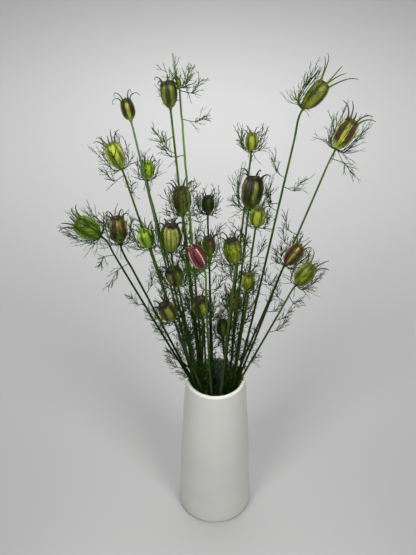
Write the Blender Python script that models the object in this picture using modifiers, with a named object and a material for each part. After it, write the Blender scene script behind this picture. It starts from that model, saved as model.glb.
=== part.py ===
# A tapered white vase filled with cut stems of love-in-a-mist, each ending in its striped
# seed pod inside a cage of thread-like bracts. Metres, +Z up, origin at the centre of the
# vase's base. The stems fan out of the mouth, and the pods face the front, which is -Y.

import math
import random
from collections import namedtuple

import bmesh
import bpy
import numpy as np
from mathutils import Matrix, Vector

MM = 0.001

# The vase
VASE_HEIGHT = 220 * MM
FOOT_RADIUS = 47 * MM
RIM_RADIUS = 35.3 * MM
SIDE_BULGE = 1.1 * MM
WALL = 3.5 * MM
FLOOR_THICKNESS = 6 * MM
FOOT_ROUNDING = 5 * MM
LIP_ROUNDING = 1.2 * MM
VASE_STEPS = 32

# The stems
STEM_RADIUS_LOW = 1.8 * MM
STEM_RADIUS_TOP = 1.2 * MM
STEM_SIDES = 5
STEM_FOOT_HEIGHT = FLOOR_THICKNESS + 1.5 * MM
NECK_HEIGHT = VASE_HEIGHT - 4 * MM
NECK_REACH = RIM_RADIUS - WALL - 3.2 * MM
FULL_LEAN = 0.22
LEAN_CENTRE_HEIGHT = 140 * MM
FOOT_SPREAD = 1.2
NOD_LENGTH = 32 * MM
LEVEL_STEP = 4 * MM
STEM_TOLERANCE = 0.4 * MM
STEM_GAP = 1.6 * MM
POD_CLEARANCE = 1.8 * MM
SETTLING_TURNS = 120

# The pods
CARPELS = 5
GROOVE_DEPTH = 0.15
CROWN_CUT = 0.90
CROWN_DIMPLE = 0.05
POD_RINGS = 5
POD_GAP = 0.3 * MM
HORN_ROOT = 0.21
HORN_SHARES = (0.05, 0.035, 0)
FIRST_HORN_TILT = 0.4

# The threads, of which bracts and leaves are made
THREAD_RADIUS = 0.5 * MM
THREAD_GAP = 0.8 * MM
FORK_LENGTH = 1.2 * MM
NODE_LENGTH = 1.6 * MM
LEAF_HEIGHTS = (230 * MM, 260 * MM, 298 * MM, 342 * MM)
LEAF_SPACING = 5 * MM
# Where the arrangement is seen from, and for some stems how many degrees to the right of that
# the middle of their pod's nearest face lies
SEEN_FROM = (-9 * MM, -773 * MM, 974 * MM)
FACES = {2: 8, 3: 0, 4: 0, 6: 30, 8: 5, 9: 0, 11: 10, 12: 25, 13: 32}
FACES.update({15: 10, 19: 0, 21: 20, 23: 20, 24: 0, 25: 0})
LEAF_FORKS = {1: 13, 2: 9}
BRACT_FORKS = {1: 10, 2: 13}
# The pods without bracts, and the ones with bracts on their left alone
BARE_PODS = (6,)
LEFT_BRACTS = (23,)
SIDE_STEPS = (0, 14, -14, 28, -28)
LENGTH_STEPS = (1.0, 0.8, 0.6)

# Leaves that stand apart higher up: for each stem, how far below the pod they grow, in
# millimetres, the way they point, in degrees from the right towards the back, and how
# steeply they rise, from 1 for most leaves to below 0 for hanging ones.
HIGH_LEAVES = {
    1: ((5, 250, -0.3), (13, 200, -0.4), (21, 165, -0.6), (29, 235, -0.3), (110, 190, 1)),
    2: ((12, 185, 0), (20, 230, -0.3), (130, 170, 1)),
    3: ((7, 230, -0.5), (20, 180, 1), (34, 240, 1)),
    5: ((70, 200, 1), (95, 20, 1)),
    6: ((4, 20, 0), (12, 320, 0.2), (44, 180, 1), (58, 150, 1)),
    8: ((20, 190, 1), (44, 10, 1), (62, 210, 1)),
    9: ((22, 170, 1), (40, 340, 1), (60, 30, 1)),
    10: ((18, 190, 1), (34, 350, 1)),
    12: ((24, 150, 1), (44, 20, 1)),
    19: ((26, 200, 1), (48, 340, 1)),
    20: ((30, 180, 1), (52, 20, 1)),
    21: ((16, 10, 1), (30, 330, 1), (50, 190, 1)),
    22: ((14, 20, 1),),
    23: ((88, 165, 1), (100, 20, 1), (116, 190, 1), (128, 160, 1)),
    24: ((6, 330, -0.3), (112, 165, 1), (124, 120, 1), (136, 175, 1)),
    26: ((5, 300, -0.2), (26, 330, 1), (64, 20, 1)),
    27: ((5, 20, 1), (13, 320, 1), (21, 200, 1), (38, 350, 0.3), (83, 200, 1)),
}

# One row for each stem: where the middle of its pod is, in millimetres, the pod's width and
# length, the way the pod leans to the right and to the back for each unit up, the length of
# its horns, how far they tilt outwards at their tips, how far its bracts stand out from it
# and rise past it, and its colour.
Stem = namedtuple("Stem", "middle width length lean horn spread flare rise colour")
STEMS = (
    Stem((-127, -45, 466), 21.5, 27, (-1.60, 0.20), 16, 0.9, 9, 8, "green"),
    Stem((-101, -15, 443), 18.5, 29, (-0.08, 0.20), 13, 1.9, 8, 6, "striped"),
    Stem((-103, 25, 507), 17.5, 28, (-0.44, 0.25), 15, 0.8, 9, 8, "green"),
    Stem((-85, 0, 572), 14.0, 21, (-0.21, 0.10), 17, 2.3, 0, 0, "striped"),
    Stem((-73, 45, 478), 15.5, 19.5, (0.07, 0.15), 9, 1.5, 4, 5, "green"),
    Stem((-46, 5, 585), 16.5, 26, (-0.09, 0.10), 12, 1.9, 3, 3, "dark"),
    Stem((-69, -55, 461), 16.0, 20.5, (-0.30, 0.10), 10, 1.0, 6, 5, "green"),
    Stem((-37, 40, 443), 20.5, 30, (-0.08, 0.25), 14, 1.0, 7, 6, "dark"),
    Stem((-45, -60, 465), 21.0, 28.5, (-0.02, 0.25), 9, 1.6, 4, 4, "striped"),
    Stem((-9, 70, 418), 15.0, 20.5, (0.02, 0.20), 10, 1.0, 7, 5, "dark"),
    Stem((-8, 25, 393), 15.5, 23, (-0.04, 0.10), 10, 0.9, 5, 5, "olive"),
    Stem((-19, -90, 464), 17.0, 26.5, (-0.46, 0.05), 12, 1.0, 4, 4, "burgundy"),
    Stem((-44, -25, 390), 19.5, 22.5, (-0.26, 0.00), 12, 2.0, 4, 4, "striped"),
    Stem((-49, -80, 388), 18.0, 23, (-0.44, 0.00), 11, 2.0, 4, 3, "olive"),
    Stem((-16, -40, 361), 20.0, 24, (-0.10, 0.00), 9, 1.9, 4, 4, "striped"),
    Stem((8, 0, 296), 15.0, 22, (-0.06, 0.10), 10, 0.9, 3, 3, "olive"),
    Stem((20, -10, 343), 17.0, 22, (-0.03, 0.00), 9, 1.5, 5, 4, "dark"),
    Stem((34, -20, 378), 15.0, 22, (0.00, 0.10), 9, 1.1, 5, 4, "green"),
    Stem((15, -80, 464), 17.5, 26, (-0.15, 0.15), 12, 1.5, 6, 5, "green"),
    Stem((42, 0, 449), 16.5, 22, (0.12, 0.10), 9, 1.0, 4, 4, "green"),
    Stem((37, 30, 459), 24.0, 35, (0.15, 0.30), 14, 1.8, 7, 7, "dark"),
    Stem((38, 80, 492), 14.5, 20, (0.03, 0.10), 10, 1.2, 7, 7, "olive"),
    Stem((91, 0, 587), 17.5, 31, (0.76, 0.15), 28, 0.75, 8, 8, "green"),
    Stem((132, 50, 518), 20.0, 34, (0.55, 0.20), 20, 1.3, 9, 7, "striped"),
    Stem((82, 0, 400), 17.0, 27.5, (0.67, 0.15), 13, 0.7, 7, 6, "burgundy"),
    Stem((91, -35, 400), 19.0, 26.5, (0.69, 0.10), 18, 0.9, 9, 6, "olive"),
    Stem((-37, 20, 590), 5.0, 10, (-0.05, 0.00), 4, 0.5, 10, 44, "olive"),
    Stem((-15, -10, 299), 7.0, 12, (0.00, 0.00), 4, 0.5, 3, 3, "olive"),
)

POD_COLOURS = {
    "green": ((0.24, 0.36, 0.03, 1), 0.5),
    "striped": ((0.22, 0.22, 0.06, 1), 0.5),
    "dark": ((0.09, 0.05, 0.04, 1), 0.55),
    "olive": ((0.17, 0.20, 0.03, 1), 0.5),
    "burgundy": ((0.20, 0.03, 0.06, 1), 0.5),
}


def clear_scene():
    for obj in list(bpy.data.objects):
        bpy.data.objects.remove(obj, do_unlink=True)


def new_collection(name):
    collection = bpy.data.collections.new(name)
    bpy.context.scene.collection.children.link(collection)
    return collection


def material(name, colour, roughness):
    made = bpy.data.materials.new(name)
    made.use_nodes = True
    shader = made.node_tree.nodes["Principled BSDF"]
    shader.inputs["Base Color"].default_value = colour
    shader.inputs["Roughness"].default_value = roughness
    shader.inputs["Metallic"].default_value = 0
    return made


def object_from(bm, name, collection, finish):
    """A new object holding this bmesh, which is freed."""
    mesh = bpy.data.meshes.new(name)
    bm.to_mesh(mesh)
    bm.free()
    mesh.materials.append(finish)
    obj = bpy.data.objects.new(name, mesh)
    collection.objects.link(obj)
    return obj


# Vase


def vase_radius(height):
    """The outer radius of the vase's side: a straight taper with a slight bulge."""
    share = height / VASE_HEIGHT
    taper = FOOT_RADIUS + (RIM_RADIUS - FOOT_RADIUS) * share
    return taper + SIDE_BULGE * math.sin(math.pi * share**1.5)


def corner(centre, radius, first_deg, last_deg, steps):
    """Points of an arc in the profile's plane, from the first angle to the last."""
    angles = [first_deg + (last_deg - first_deg) * i / steps for i in range(steps + 1)]
    return [
        (centre[0] + radius * math.cos(math.radians(a)), centre[1] + radius * math.sin(math.radians(a)))
        for a in angles
    ]


def vase_profile():
    """Half the vase's section, from the middle of its floor up the inside, over and down the outside."""
    inside = [(0, FLOOR_THICKNESS)]
    for height in (FLOOR_THICKNESS, 0.4 * VASE_HEIGHT, 0.75 * VASE_HEIGHT):
        inside.append((vase_radius(height) - WALL, height))
    inner_lip = (RIM_RADIUS - WALL + LIP_ROUNDING, VASE_HEIGHT - LIP_ROUNDING)
    outer_lip = (RIM_RADIUS - LIP_ROUNDING, VASE_HEIGHT - LIP_ROUNDING)
    lip = corner(inner_lip, LIP_ROUNDING, 180, 90, 1) + corner(outer_lip, LIP_ROUNDING, 90, 0, 1)
    outside = [(vase_radius(share * VASE_HEIGHT), share * VASE_HEIGHT) for share in (0.85, 0.65, 0.4, 0.15)]
    rounding = (FOOT_RADIUS - FOOT_ROUNDING, FOOT_ROUNDING)
    foot = corner(rounding, FOOT_ROUNDING, 0, -90, 3)
    return inside + lip + outside + foot + [(0, 0)]


def make_vase(collection):
    points = [(x, 0, z) for x, z in vase_profile()]
    mesh = bpy.data.meshes.new("vase")
    mesh.from_pydata(points, [(i, i + 1) for i in range(len(points) - 1)], [])
    vase = bpy.data.objects.new("vase", mesh)
    collection.objects.link(vase)
    mesh.materials.append(material("white_stoneware", (0.80, 0.80, 0.77, 1), 0.6))
    turn = vase.modifiers.new("turn", "SCREW")
    turn.axis = "Z"
    turn.angle = 2 * math.pi
    turn.steps = turn.render_steps = VASE_STEPS
    turn.use_merge_vertices = True
    turn.merge_threshold = 0.0001
    turn.use_smooth_shade = True
    return vase


# Where the stems run


def direction_of(stem):
    return Vector((stem.lean[0], stem.lean[1], 1)).normalized()


def pod_base(stem):
    return Vector(stem.middle) * MM - direction_of(stem) * stem.length * MM / 2


def neck_point(stem):
    """Where the stem passes the mouth: the more it leans, the nearer it is to the rim."""
    x, y, z = (value * MM for value in stem.middle)
    lean = Vector((x, y)) / (z - LEAN_CENTRE_HEIGHT)
    reach = NECK_REACH * min(1, lean.length / FULL_LEAN) ** 0.6
    flat = lean.normalized() * reach
    return Vector((flat.x, flat.y, NECK_HEIGHT))


def hermite(start, end, start_pull, end_pull, share):
    """A point of the smooth curve that leaves start along start_pull and reaches end along end_pull."""
    s2, s3 = share**2, share**3
    return (
        start * (2 * s3 - 3 * s2 + 1)
        + start_pull * (s3 - 2 * s2 + share)
        + end * (3 * s2 - 2 * s3)
        + end_pull * (s3 - s2)
    )


def natural_path(stem):
    """The stem's line before the stems make room for each other, from its foot to its pod."""
    neck, top = neck_point(stem), pod_base(stem) - direction_of(stem) * POD_GAP
    foot = Vector((neck.x * FOOT_SPREAD, neck.y * FOOT_SPREAD, STEM_FOOT_HEIGHT))
    way = (top - neck).normalized()
    nod = min(NOD_LENGTH, 0.4 * (top - neck).length)
    shoulder = top - (way * 0.9 + direction_of(stem) * 0.1).normalized() * nod
    rise = shoulder - neck
    stretches = (
        (foot, neck, Vector((0, 0, 0.6 * NECK_HEIGHT)), way * 0.5 * NECK_HEIGHT),
        (neck, shoulder, rise, rise),
        (shoulder, top, rise.normalized() * nod, direction_of(stem) * nod),
    )
    return np.array([hermite(*stretch, i / 40) for stretch in stretches for i in range(41)])


def pod_profile(share):
    """The pod's radius as a share of its largest, from its base at 0 to its crown's edge at 1."""
    return (1 - abs(2 * CROWN_CUT * min(max(share, 0), 1) ** 1.1 - 1) ** 2.2) ** 0.476


def at_levels(stem, levels):
    """The place of the stem or its pod at each level, the room it needs there, and which levels are pod."""
    path = natural_path(stem)
    base, way = pod_base(stem), direction_of(stem)
    height = stem.length * MM * way.z
    place = np.full((len(levels), 2), np.nan)
    size = np.zeros(len(levels))
    is_pod = np.zeros(len(levels), bool)
    for i, level in enumerate(levels):
        if level <= base.z:
            place[i] = [np.interp(level, path[:, 2], path[:, axis]) for axis in (0, 1)]
            size[i] = STEM_RADIUS_LOW
        elif level <= base.z + height + stem.horn * MM * 0.7:
            along = min((level - base.z) / height, 1)
            point = base + way * (along * stem.length * MM)
            share = pod_profile(min(along, 0.8))
            place[i] = point.x, point.y
            size[i] = share * stem.width * MM / 2 / max(way.z, 0.6) + POD_CLEARANCE
            is_pod[i] = True
    return place, size, is_pod


def make_room(place, size, is_pod, levels):
    """Pushes the stems apart, level by level, until each is clear of the others and of the pods.
    The pods stay, and the push is spread along each stem, so that it bends gently."""
    start = place.copy()
    inner = np.array([vase_radius(min(level, VASE_HEIGHT)) for level in levels]) - WALL - STEM_RADIUS_LOW - MM
    fixed = is_pod | np.isnan(place[:, :, 0])
    fixed[:, :-2] |= fixed[:, 2:]
    for turn in range(SETTLING_TURNS):
        gap = place[:, None] - place[None]
        distance = np.linalg.norm(gap, axis=-1) + 1e-9
        need = size[:, None] + size[None] + STEM_GAP
        short = np.where(distance < need, need - distance, 0)
        short[np.isnan(distance)] = 0
        short[np.arange(len(place)), np.arange(len(place))] = 0
        share = np.where(fixed[None], 1.0, 0.5)
        push = np.nansum(gap / distance[..., None] * (short * share)[..., None], axis=1)
        moved = np.where(fixed[..., None], 0, place + push - start)
        for _ in range(2 if turn < SETTLING_TURNS - 8 else 0):
            middle = (moved[:, :-2] + 2 * moved[:, 1:-1] + moved[:, 2:]) / 4
            moved[:, 1:-1] = np.where(fixed[:, 1:-1, None], 0, middle)
        place = np.where(np.isnan(start), start, start + moved)
        radius = np.linalg.norm(place, axis=-1)
        inside = (levels < VASE_HEIGHT + 2 * MM)[None] & (radius > inner)
        place = np.where(inside[..., None], place / radius[..., None] * inner[None, :, None], place)
    return place


def stem_lines():
    """One list of points for each stem, from its foot to its pod's base."""
    top = max(stem.middle[2] + stem.length for stem in STEMS) * MM
    levels = np.arange(STEM_FOOT_HEIGHT, top, LEVEL_STEP)
    found = [at_levels(stem, levels) for stem in STEMS]
    place, size, is_pod = (np.array(values) for values in zip(*found))
    place = make_room(place, size, is_pod, levels)
    lines = []
    for stem, points, pod in zip(STEMS, place, is_pod):
        below = np.flatnonzero(~pod & ~np.isnan(points[:, 0]))
        line = [Vector((*points[k], levels[k])) for k in below[:-1]]
        lines.append(thin_out(line + [pod_base(stem) - direction_of(stem) * POD_GAP], STEM_TOLERANCE))
    return lines


def thin_out(line, tolerance):
    """The fewest points of a line that stay this close to all of it."""
    start, run = line[0], line[-1] - line[0]
    off = [(point - start - run * ((point - start).dot(run) / run.length_squared)).length for point in line]
    widest = max(range(len(line)), key=lambda i: off[i])
    if off[widest] <= tolerance:
        return [line[0], line[-1]]
    return thin_out(line[: widest + 1], tolerance)[:-1] + thin_out(line[widest:], tolerance)


# Room between the pieces


class Room:
    """Every stem, pod, horn and thread placed so far, as tapered rods, each with an owner's number:
    the stems' numbers come first, then the pods', then the horns', and then one for each leaf and bract."""

    def __init__(self):
        self.rods, self.owners = [], []
        self.last_owner = 3 * len(STEMS)

    def new_owner(self):
        self.last_owner += 1
        return self.last_owner

    def add(self, points, radii, owner):
        for k in range(len(points) - 1):
            self.rods.append((*points[k], *points[k + 1], radii[k], radii[k + 1]))
            self.owners.append(owner)

    def left(self, points, own):
        """The smallest distance from this line to anything with another owner than these."""
        rods = np.array(self.rods)[~np.isin(self.owners, own)]
        starts, runs = rods[:, :3], rods[:, 3:6] - rods[:, :3]
        samples = [start.lerp(end, i / 8) for start, end in zip(points, points[1:]) for i in range(9)]
        offsets = np.array(samples)[:, None] - starts
        share = np.clip((offsets * runs).sum(-1) / (runs * runs).sum(-1), 0, 1)
        distance = np.linalg.norm(offsets - share[..., None] * runs, axis=-1)
        return float((distance - rods[:, 6] - (rods[:, 7] - rods[:, 6]) * share).min())


def clear_of_vase(points):
    return all(point.z > VASE_HEIGHT + 2.5 * MM for point in points[1:])


def add_pod_room(room, stem, owner):
    base, run = pod_base(stem), direction_of(stem) * stem.length * MM
    cuts = (0, 0.03, 0.1, 0.25, 0.45, 0.7, 0.85, 0.95, 1)
    points = [base + run * share for share in cuts]
    room.add(points, [stem.width * MM / 2 * pod_profile(share) for share in cuts], owner)


# Pods


def horn_path(stem, turn):
    """The line of one horn above the crown, in the pod's own frame: up, then out and over."""
    out = Vector((math.cos(turn), math.sin(turn), 0))
    point = Vector((0, 0, stem.length * MM)) + out * HORN_ROOT * stem.width * MM
    points = [point]
    for share in (0, 0.5, 1):
        tilt = FIRST_HORN_TILT + (stem.spread - FIRST_HORN_TILT) * share
        step = out * math.sin(tilt) + Vector((0, 0, math.cos(tilt)))
        point = point + step * stem.horn * MM / 3
        points.append(point)
    return points


def pod_frame(stem):
    """The pod's base and axis as a matrix."""
    turned = direction_of(stem).to_track_quat("Z", "Y")
    return Matrix.Translation(pod_base(stem)) @ turned.to_matrix().to_4x4()


def horn_turns(spin):
    """The angles of the horns, which stand on the middle of each carpel."""
    return [spin + (k + 0.5) * 2 * math.pi / (2 * CARPELS) for k in range(0, 2 * CARPELS, 2)]


def choose_spin(room, stem, own, face):
    """The first turn of the pod about its axis at which its horns are clear of everything else, near
    the one that its face asks for."""
    frame = pod_frame(stem)
    seen = frame.inverted() @ Vector(SEEN_FROM)
    toward = math.degrees(math.atan2(seen.y, seen.x)) - 90 / CARPELS
    steps = range(0, 72, 9) if face is None else [face + off for off in (0, 6, -6, 12, -12)]
    best = (-1, 0)
    for step in steps:
        spin = math.radians(toward + step)
        lines = [[frame @ point for point in horn_path(stem, turn)] for turn in horn_turns(spin)]
        space = min(room.left(line, own) for line in lines)
        if space > best[0]:
            best = (space, spin)
        if space > 2 * THREAD_GAP:
            break
    return best[1]


def draw_out(bm, face, points, sizes):
    """Draws a face out along a line of points, to one size for each point after the first. A last size
    of 0 makes a tip. Returns the sides of each stretch."""
    way = face.normal.copy()
    sides = []
    for i, size in enumerate(sizes):
        face = bmesh.ops.extrude_discrete_faces(bm, faces=[face])["faces"][0]
        sides.append([other for edge in face.edges for other in edge.link_faces if other is not face])
        new_way = (points[i + 1] - points[i]).normalized()
        turn = way.rotation_difference(new_way)
        middle = face.calc_center_median()
        offsets = [vert.co - middle for vert in face.verts]
        narrow = (size or sizes[i - 1]) / max(offset.length for offset in offsets)
        for vert, offset in zip(face.verts, offsets):
            vert.co = points[i + 1] + turn @ offset * narrow
        way = new_way
    if sizes[-1] == 0:
        bmesh.ops.pointmerge(bm, verts=list(face.verts), merge_co=points[-1])
    return sides


def make_pod(name, stem, spin, collection, finish):
    """A ribbed capsule, drawn from a sphere by a formula, with a horn drawn out over each carpel."""
    bm = bmesh.new()
    bmesh.ops.create_uvsphere(bm, u_segments=2 * CARPELS, v_segments=POD_RINGS + 1, radius=1)
    for vert in bm.verts:
        flat = math.hypot(vert.co.x, vert.co.y)
        turn = math.atan2(vert.co.y, vert.co.x)
        share = (vert.co.z + 1) / (math.cos(math.pi / (POD_RINGS + 1)) + 1)
        groove = 1 - GROOVE_DEPTH * (0.5 - 0.5 * math.cos(CARPELS * turn)) * min(1, 4 * share)
        radius = stem.width * MM / 2 * pod_profile(share) * groove if flat > 1e-6 else 0
        if share > 1.01:
            share = 1 - CROWN_DIMPLE
        turn += spin
        vert.co = Vector((radius * math.cos(turn), radius * math.sin(turn), share * stem.length * MM))
    caps = [face for face in bm.faces if len(face.verts) == 3]
    crown = [face for face in caps if face.calc_center_median().z > stem.length * MM / 2]
    turns = horn_turns(spin)
    ways = [Vector((math.cos(turn), math.sin(turn), 0)) for turn in turns]
    chosen = [max(crown, key=lambda face: face.calc_center_median().dot(way)) for way in ways]
    for turn, face in zip(turns, chosen):
        points = horn_path(stem, turn)
        points[0] = face.calc_center_median()
        draw_out(bm, face, points, [share * stem.width * MM for share in HORN_SHARES])
    bmesh.ops.transform(bm, matrix=pod_frame(stem), verts=bm.verts)
    return object_from(bm, name, collection, finish)


# Bracts and leaves


def cut(points, share):
    """The first part of a line, up to this share of its length."""
    left = share * sum((b - a).length for a, b in zip(points, points[1:]))
    kept = [points[0]]
    for start, end in zip(points, points[1:]):
        length = (end - start).length
        kept.append(start.lerp(end, min(1, left / length)))
        if left <= length:
            break
        left -= length
    return kept


def find_room(room, points, axis, own):
    """The first turn or cut of this line that is clear of everything with another owner, or None."""
    for share in LENGTH_STEPS:
        shorter = cut(points, share)
        for degrees in SIDE_STEPS:
            turn = Matrix.Rotation(math.radians(degrees), 3, axis)
            tried = [points[0] + turn @ (point - points[0]) for point in shorter]
            if clear_of_vase(tried) and room.left(tried, own) > THREAD_RADIUS + THREAD_GAP:
                return tried
    return None


def grow_thread(bm, room, face, line, forks, own, draw):
    """Draws a face of the stem out along a line, and at each fork draws its sides out into side threads."""
    room.add(line, [THREAD_RADIUS] * len(line), own[0])
    points, sizes, forked = [line[0]], [], {}
    for k in range(1, len(line) - 1):
        points.append(line[k])
        sizes.append(THREAD_RADIUS)
        if k in forks:
            forked[len(sizes)] = forks[k]
            points.append(line[k] + (line[k + 1] - line[k]).normalized() * FORK_LENGTH)
            sizes.append(THREAD_RADIUS * 0.9)
    sides = draw_out(bm, face, points + [line[-1]], sizes + [0])
    for k, reach in forked.items():
        way = (points[k + 1] - points[k]).normalized()
        for side in sides[k]:
            root = side.calc_center_median()
            heading = (way * draw.uniform(1.0, 1.5) + side.normal * draw.uniform(0.6, 0.9)).normalized()
            shoot = [root, root + heading * reach * MM * draw.uniform(0.75, 1.15)]
            shoot = find_room(room, shoot, way, own)
            if shoot:
                room.add(shoot, [THREAD_RADIUS] * 2, own[0])
                tip = bmesh.ops.poke(bm, faces=[side])["verts"][0]
                tip.co = shoot[1]


def grow_bracts(bm, room, stem, quads, i, draw):
    """The cage round a pod: a bract from each side of the stem's top curves out and rises past the crown."""
    half, length = stem.width * MM / 2, stem.length * MM
    up = direction_of(stem)
    base = pod_base(stem)
    for quad in quads if stem.flare and i + 1 not in BARE_PODS else ():
        face = bmesh.ops.triangulate(bm, faces=[quad])["faces"][0]
        out = (face.normal - up * face.normal.dot(up)).normalized()
        if i + 1 in LEFT_BRACTS and out.x > 0:
            continue
        flare = stem.flare * MM * draw.uniform(0.3, 1.1)
        rise = stem.rise * MM * draw.uniform(0.3, 1.5)
        profile = (
            (0.66 * half + 3 * MM, 0.5 * MM),
            (half + 2.5 * MM + 0.3 * flare, 0.5 * length),
            (half + 1.5 * MM + flare, length + rise),
        )
        line = [face.calc_center_median()] + [base + out * r + up * z for r, z in profile]
        own = [room.new_owner(), i, len(STEMS) + i]
        line = find_room(room, line, up, own)
        if line and len(line) > 2:
            grow_thread(bm, room, face, line, BRACT_FORKS, own[:2], draw)


def grow_leaf(bm, room, row, way, lift, i, draw):
    """A thread leaf from the side of the stem that looks the way asked for."""
    quad = max(row, key=lambda face: face.normal.dot(way))
    face = bmesh.ops.triangulate(bm, faces=[quad])["faces"][0]
    out = face.normal.copy()
    up = out.cross(Vector((0, 0, 1)).cross(out)).normalized() * lift
    length = draw.uniform(26, 40) * MM
    root = face.calc_center_median()
    middle = root + (up * 0.7 + out * 0.7).normalized() * length * 0.4
    upper = middle + (up * 0.9 + out * 0.4).normalized() * length * 0.3
    line = [root, middle, upper, upper + (up * 0.85 + out * 0.5).normalized() * length * 0.3]
    own = [room.new_owner(), i]
    line = find_room(room, line, out.orthogonal(), own)
    if line and len(line) > 2:
        grow_thread(bm, room, face, line, LEAF_FORKS, own, draw)


# Stems


def leaf_places(i, line, draw):
    """The height, the way and the rise of each leaf of a stem, from the lowest up."""
    turn = draw.uniform(0, 360)
    places = []
    for height in LEAF_HEIGHTS:
        level = height + draw.uniform(0, 16) * MM
        turn += 137.5
        if level < line[-1].z - 24 * MM:
            places.append((level, turn, 1))
    for drop, way, lift in HIGH_LEAVES.get(i + 1, ()):
        places.append((line[-1].z - drop * MM, way, lift))
    places.sort()
    return [place for k, place in enumerate(places) if k == 0 or place[0] - places[k - 1][0] > LEAF_SPACING]


def with_leaf_nodes(line, places):
    """The line with two points close together where each leaf grows. Returns it with each leaf's
    stretch, way and rise."""
    points, nodes = list(line), []
    for level, way, lift in places:
        at = next(k for k in range(len(points) - 1) if points[k + 1].z > level)
        run = (points[at + 1] - points[at]).normalized()
        root = points[at] + run * (level - points[at].z) / run.z
        if min((root - points[at]).length, (points[at + 1] - root).length) < 2 * NODE_LENGTH:
            continue
        points[at + 1 : at + 1] = [root, root + run * NODE_LENGTH]
        turn = math.radians(way)
        nodes.append((at, Vector((math.cos(turn), math.sin(turn), 0)), lift))
    return points, nodes


def make_tube(bm, line):
    """A closed tapering tube along a line. Returns the faces round each stretch of it but the first."""
    run = line[1] - line[0]
    middle = Matrix.Translation(line[0].lerp(line[1], 0.5))
    bmesh.ops.create_cone(
        bm,
        cap_ends=True,
        segments=STEM_SIDES,
        radius1=STEM_RADIUS_LOW,
        radius2=STEM_RADIUS_LOW,
        depth=run.length,
        matrix=middle @ run.to_track_quat("Z", "Y").to_matrix().to_4x4(),
    )
    top = max(bm.faces, key=lambda face: face.calc_center_median().z)
    shares = [(point.z - line[0].z) / (line[-1].z - line[0].z) for point in line[2:]]
    sizes = [STEM_RADIUS_LOW + (STEM_RADIUS_TOP - STEM_RADIUS_LOW) * share for share in shares]
    rows = draw_out(bm, top, line[1:], sizes)
    bm.normal_update()
    return rows


def make_stem(name, i, stem, line, room, collection, finish):
    """A stem with its leaves, and with its bracts round the pod, all drawn out of one tube."""
    draw = random.Random(100 + i)
    end = line[-1]
    line = line[:-1] + [end - direction_of(stem) * NODE_LENGTH, end]
    line, nodes = with_leaf_nodes(line, leaf_places(i, line, draw))
    bm = bmesh.new()
    rows = make_tube(bm, line)
    grow_bracts(bm, room, stem, rows[-1], i, draw)
    for row, way, lift in nodes:
        grow_leaf(bm, room, rows[row], way, lift, i, draw)
    return object_from(bm, name, collection, finish)


def main():
    clear_scene()
    collection = new_collection("nigella_seed_pods")
    make_vase(collection)
    stem_finish = material("stem_green", (0.05, 0.12, 0.02, 1), 0.6)
    pod_finishes = {name: material("pod_" + name, *values) for name, values in POD_COLOURS.items()}
    room = Room()
    lines = stem_lines()
    for i, (stem, line) in enumerate(zip(STEMS, lines)):
        room.add(line, [STEM_RADIUS_LOW] * len(line), i)
        add_pod_room(room, stem, len(STEMS) + i)
    for i, stem in enumerate(STEMS):
        horns = 2 * len(STEMS) + i
        spin = choose_spin(room, stem, [len(STEMS) + i, horns], FACES.get(i + 1))
        for turn in horn_turns(spin):
            points = [pod_frame(stem) @ point for point in horn_path(stem, turn)]
            room.add(points, [HORN_SHARES[0] * stem.width * MM] * len(points), horns)
        make_pod(f"seed_pod_{i + 1:02d}", stem, spin, collection, pod_finishes[stem.colour])
    for i, (stem, line) in enumerate(zip(STEMS, lines)):
        make_stem(f"leafy_stem_{i + 1:02d}", i, stem, line, room, collection, stem_finish)


main()
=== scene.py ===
# The look of a white vase of love-in-a-mist seed pods. The stems follow the lines of the
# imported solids, and every pod is drawn anew with its ribs, stripes, veins and curled horns.

import math
import random
from collections import namedtuple

import bmesh
import bpy
import numpy as np
from mathutils import Matrix, Vector


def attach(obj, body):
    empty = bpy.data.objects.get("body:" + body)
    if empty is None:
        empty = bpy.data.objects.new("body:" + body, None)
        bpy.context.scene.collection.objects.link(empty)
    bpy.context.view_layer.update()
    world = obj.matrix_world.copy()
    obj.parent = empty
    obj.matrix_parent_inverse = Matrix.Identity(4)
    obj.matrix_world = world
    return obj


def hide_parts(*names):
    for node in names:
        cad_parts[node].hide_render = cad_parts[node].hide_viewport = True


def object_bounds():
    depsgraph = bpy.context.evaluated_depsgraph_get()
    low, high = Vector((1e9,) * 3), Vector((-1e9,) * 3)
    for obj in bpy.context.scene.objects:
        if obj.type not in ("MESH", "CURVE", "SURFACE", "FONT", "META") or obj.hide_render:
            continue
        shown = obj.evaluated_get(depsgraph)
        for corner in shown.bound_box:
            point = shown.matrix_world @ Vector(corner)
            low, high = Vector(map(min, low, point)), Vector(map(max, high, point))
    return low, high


mm = 0.001
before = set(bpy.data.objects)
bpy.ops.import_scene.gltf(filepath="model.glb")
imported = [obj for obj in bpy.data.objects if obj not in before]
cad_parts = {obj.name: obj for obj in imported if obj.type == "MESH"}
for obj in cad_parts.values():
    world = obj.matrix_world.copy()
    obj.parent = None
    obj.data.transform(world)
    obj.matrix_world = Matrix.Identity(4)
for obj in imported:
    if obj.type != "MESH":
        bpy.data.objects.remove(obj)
cadBox = [list(corner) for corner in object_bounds()]
lowest, highest = (Vector(corner) for corner in cadBox)
print("frame loaded:", len(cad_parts), "nodes")


# shader sums


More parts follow.
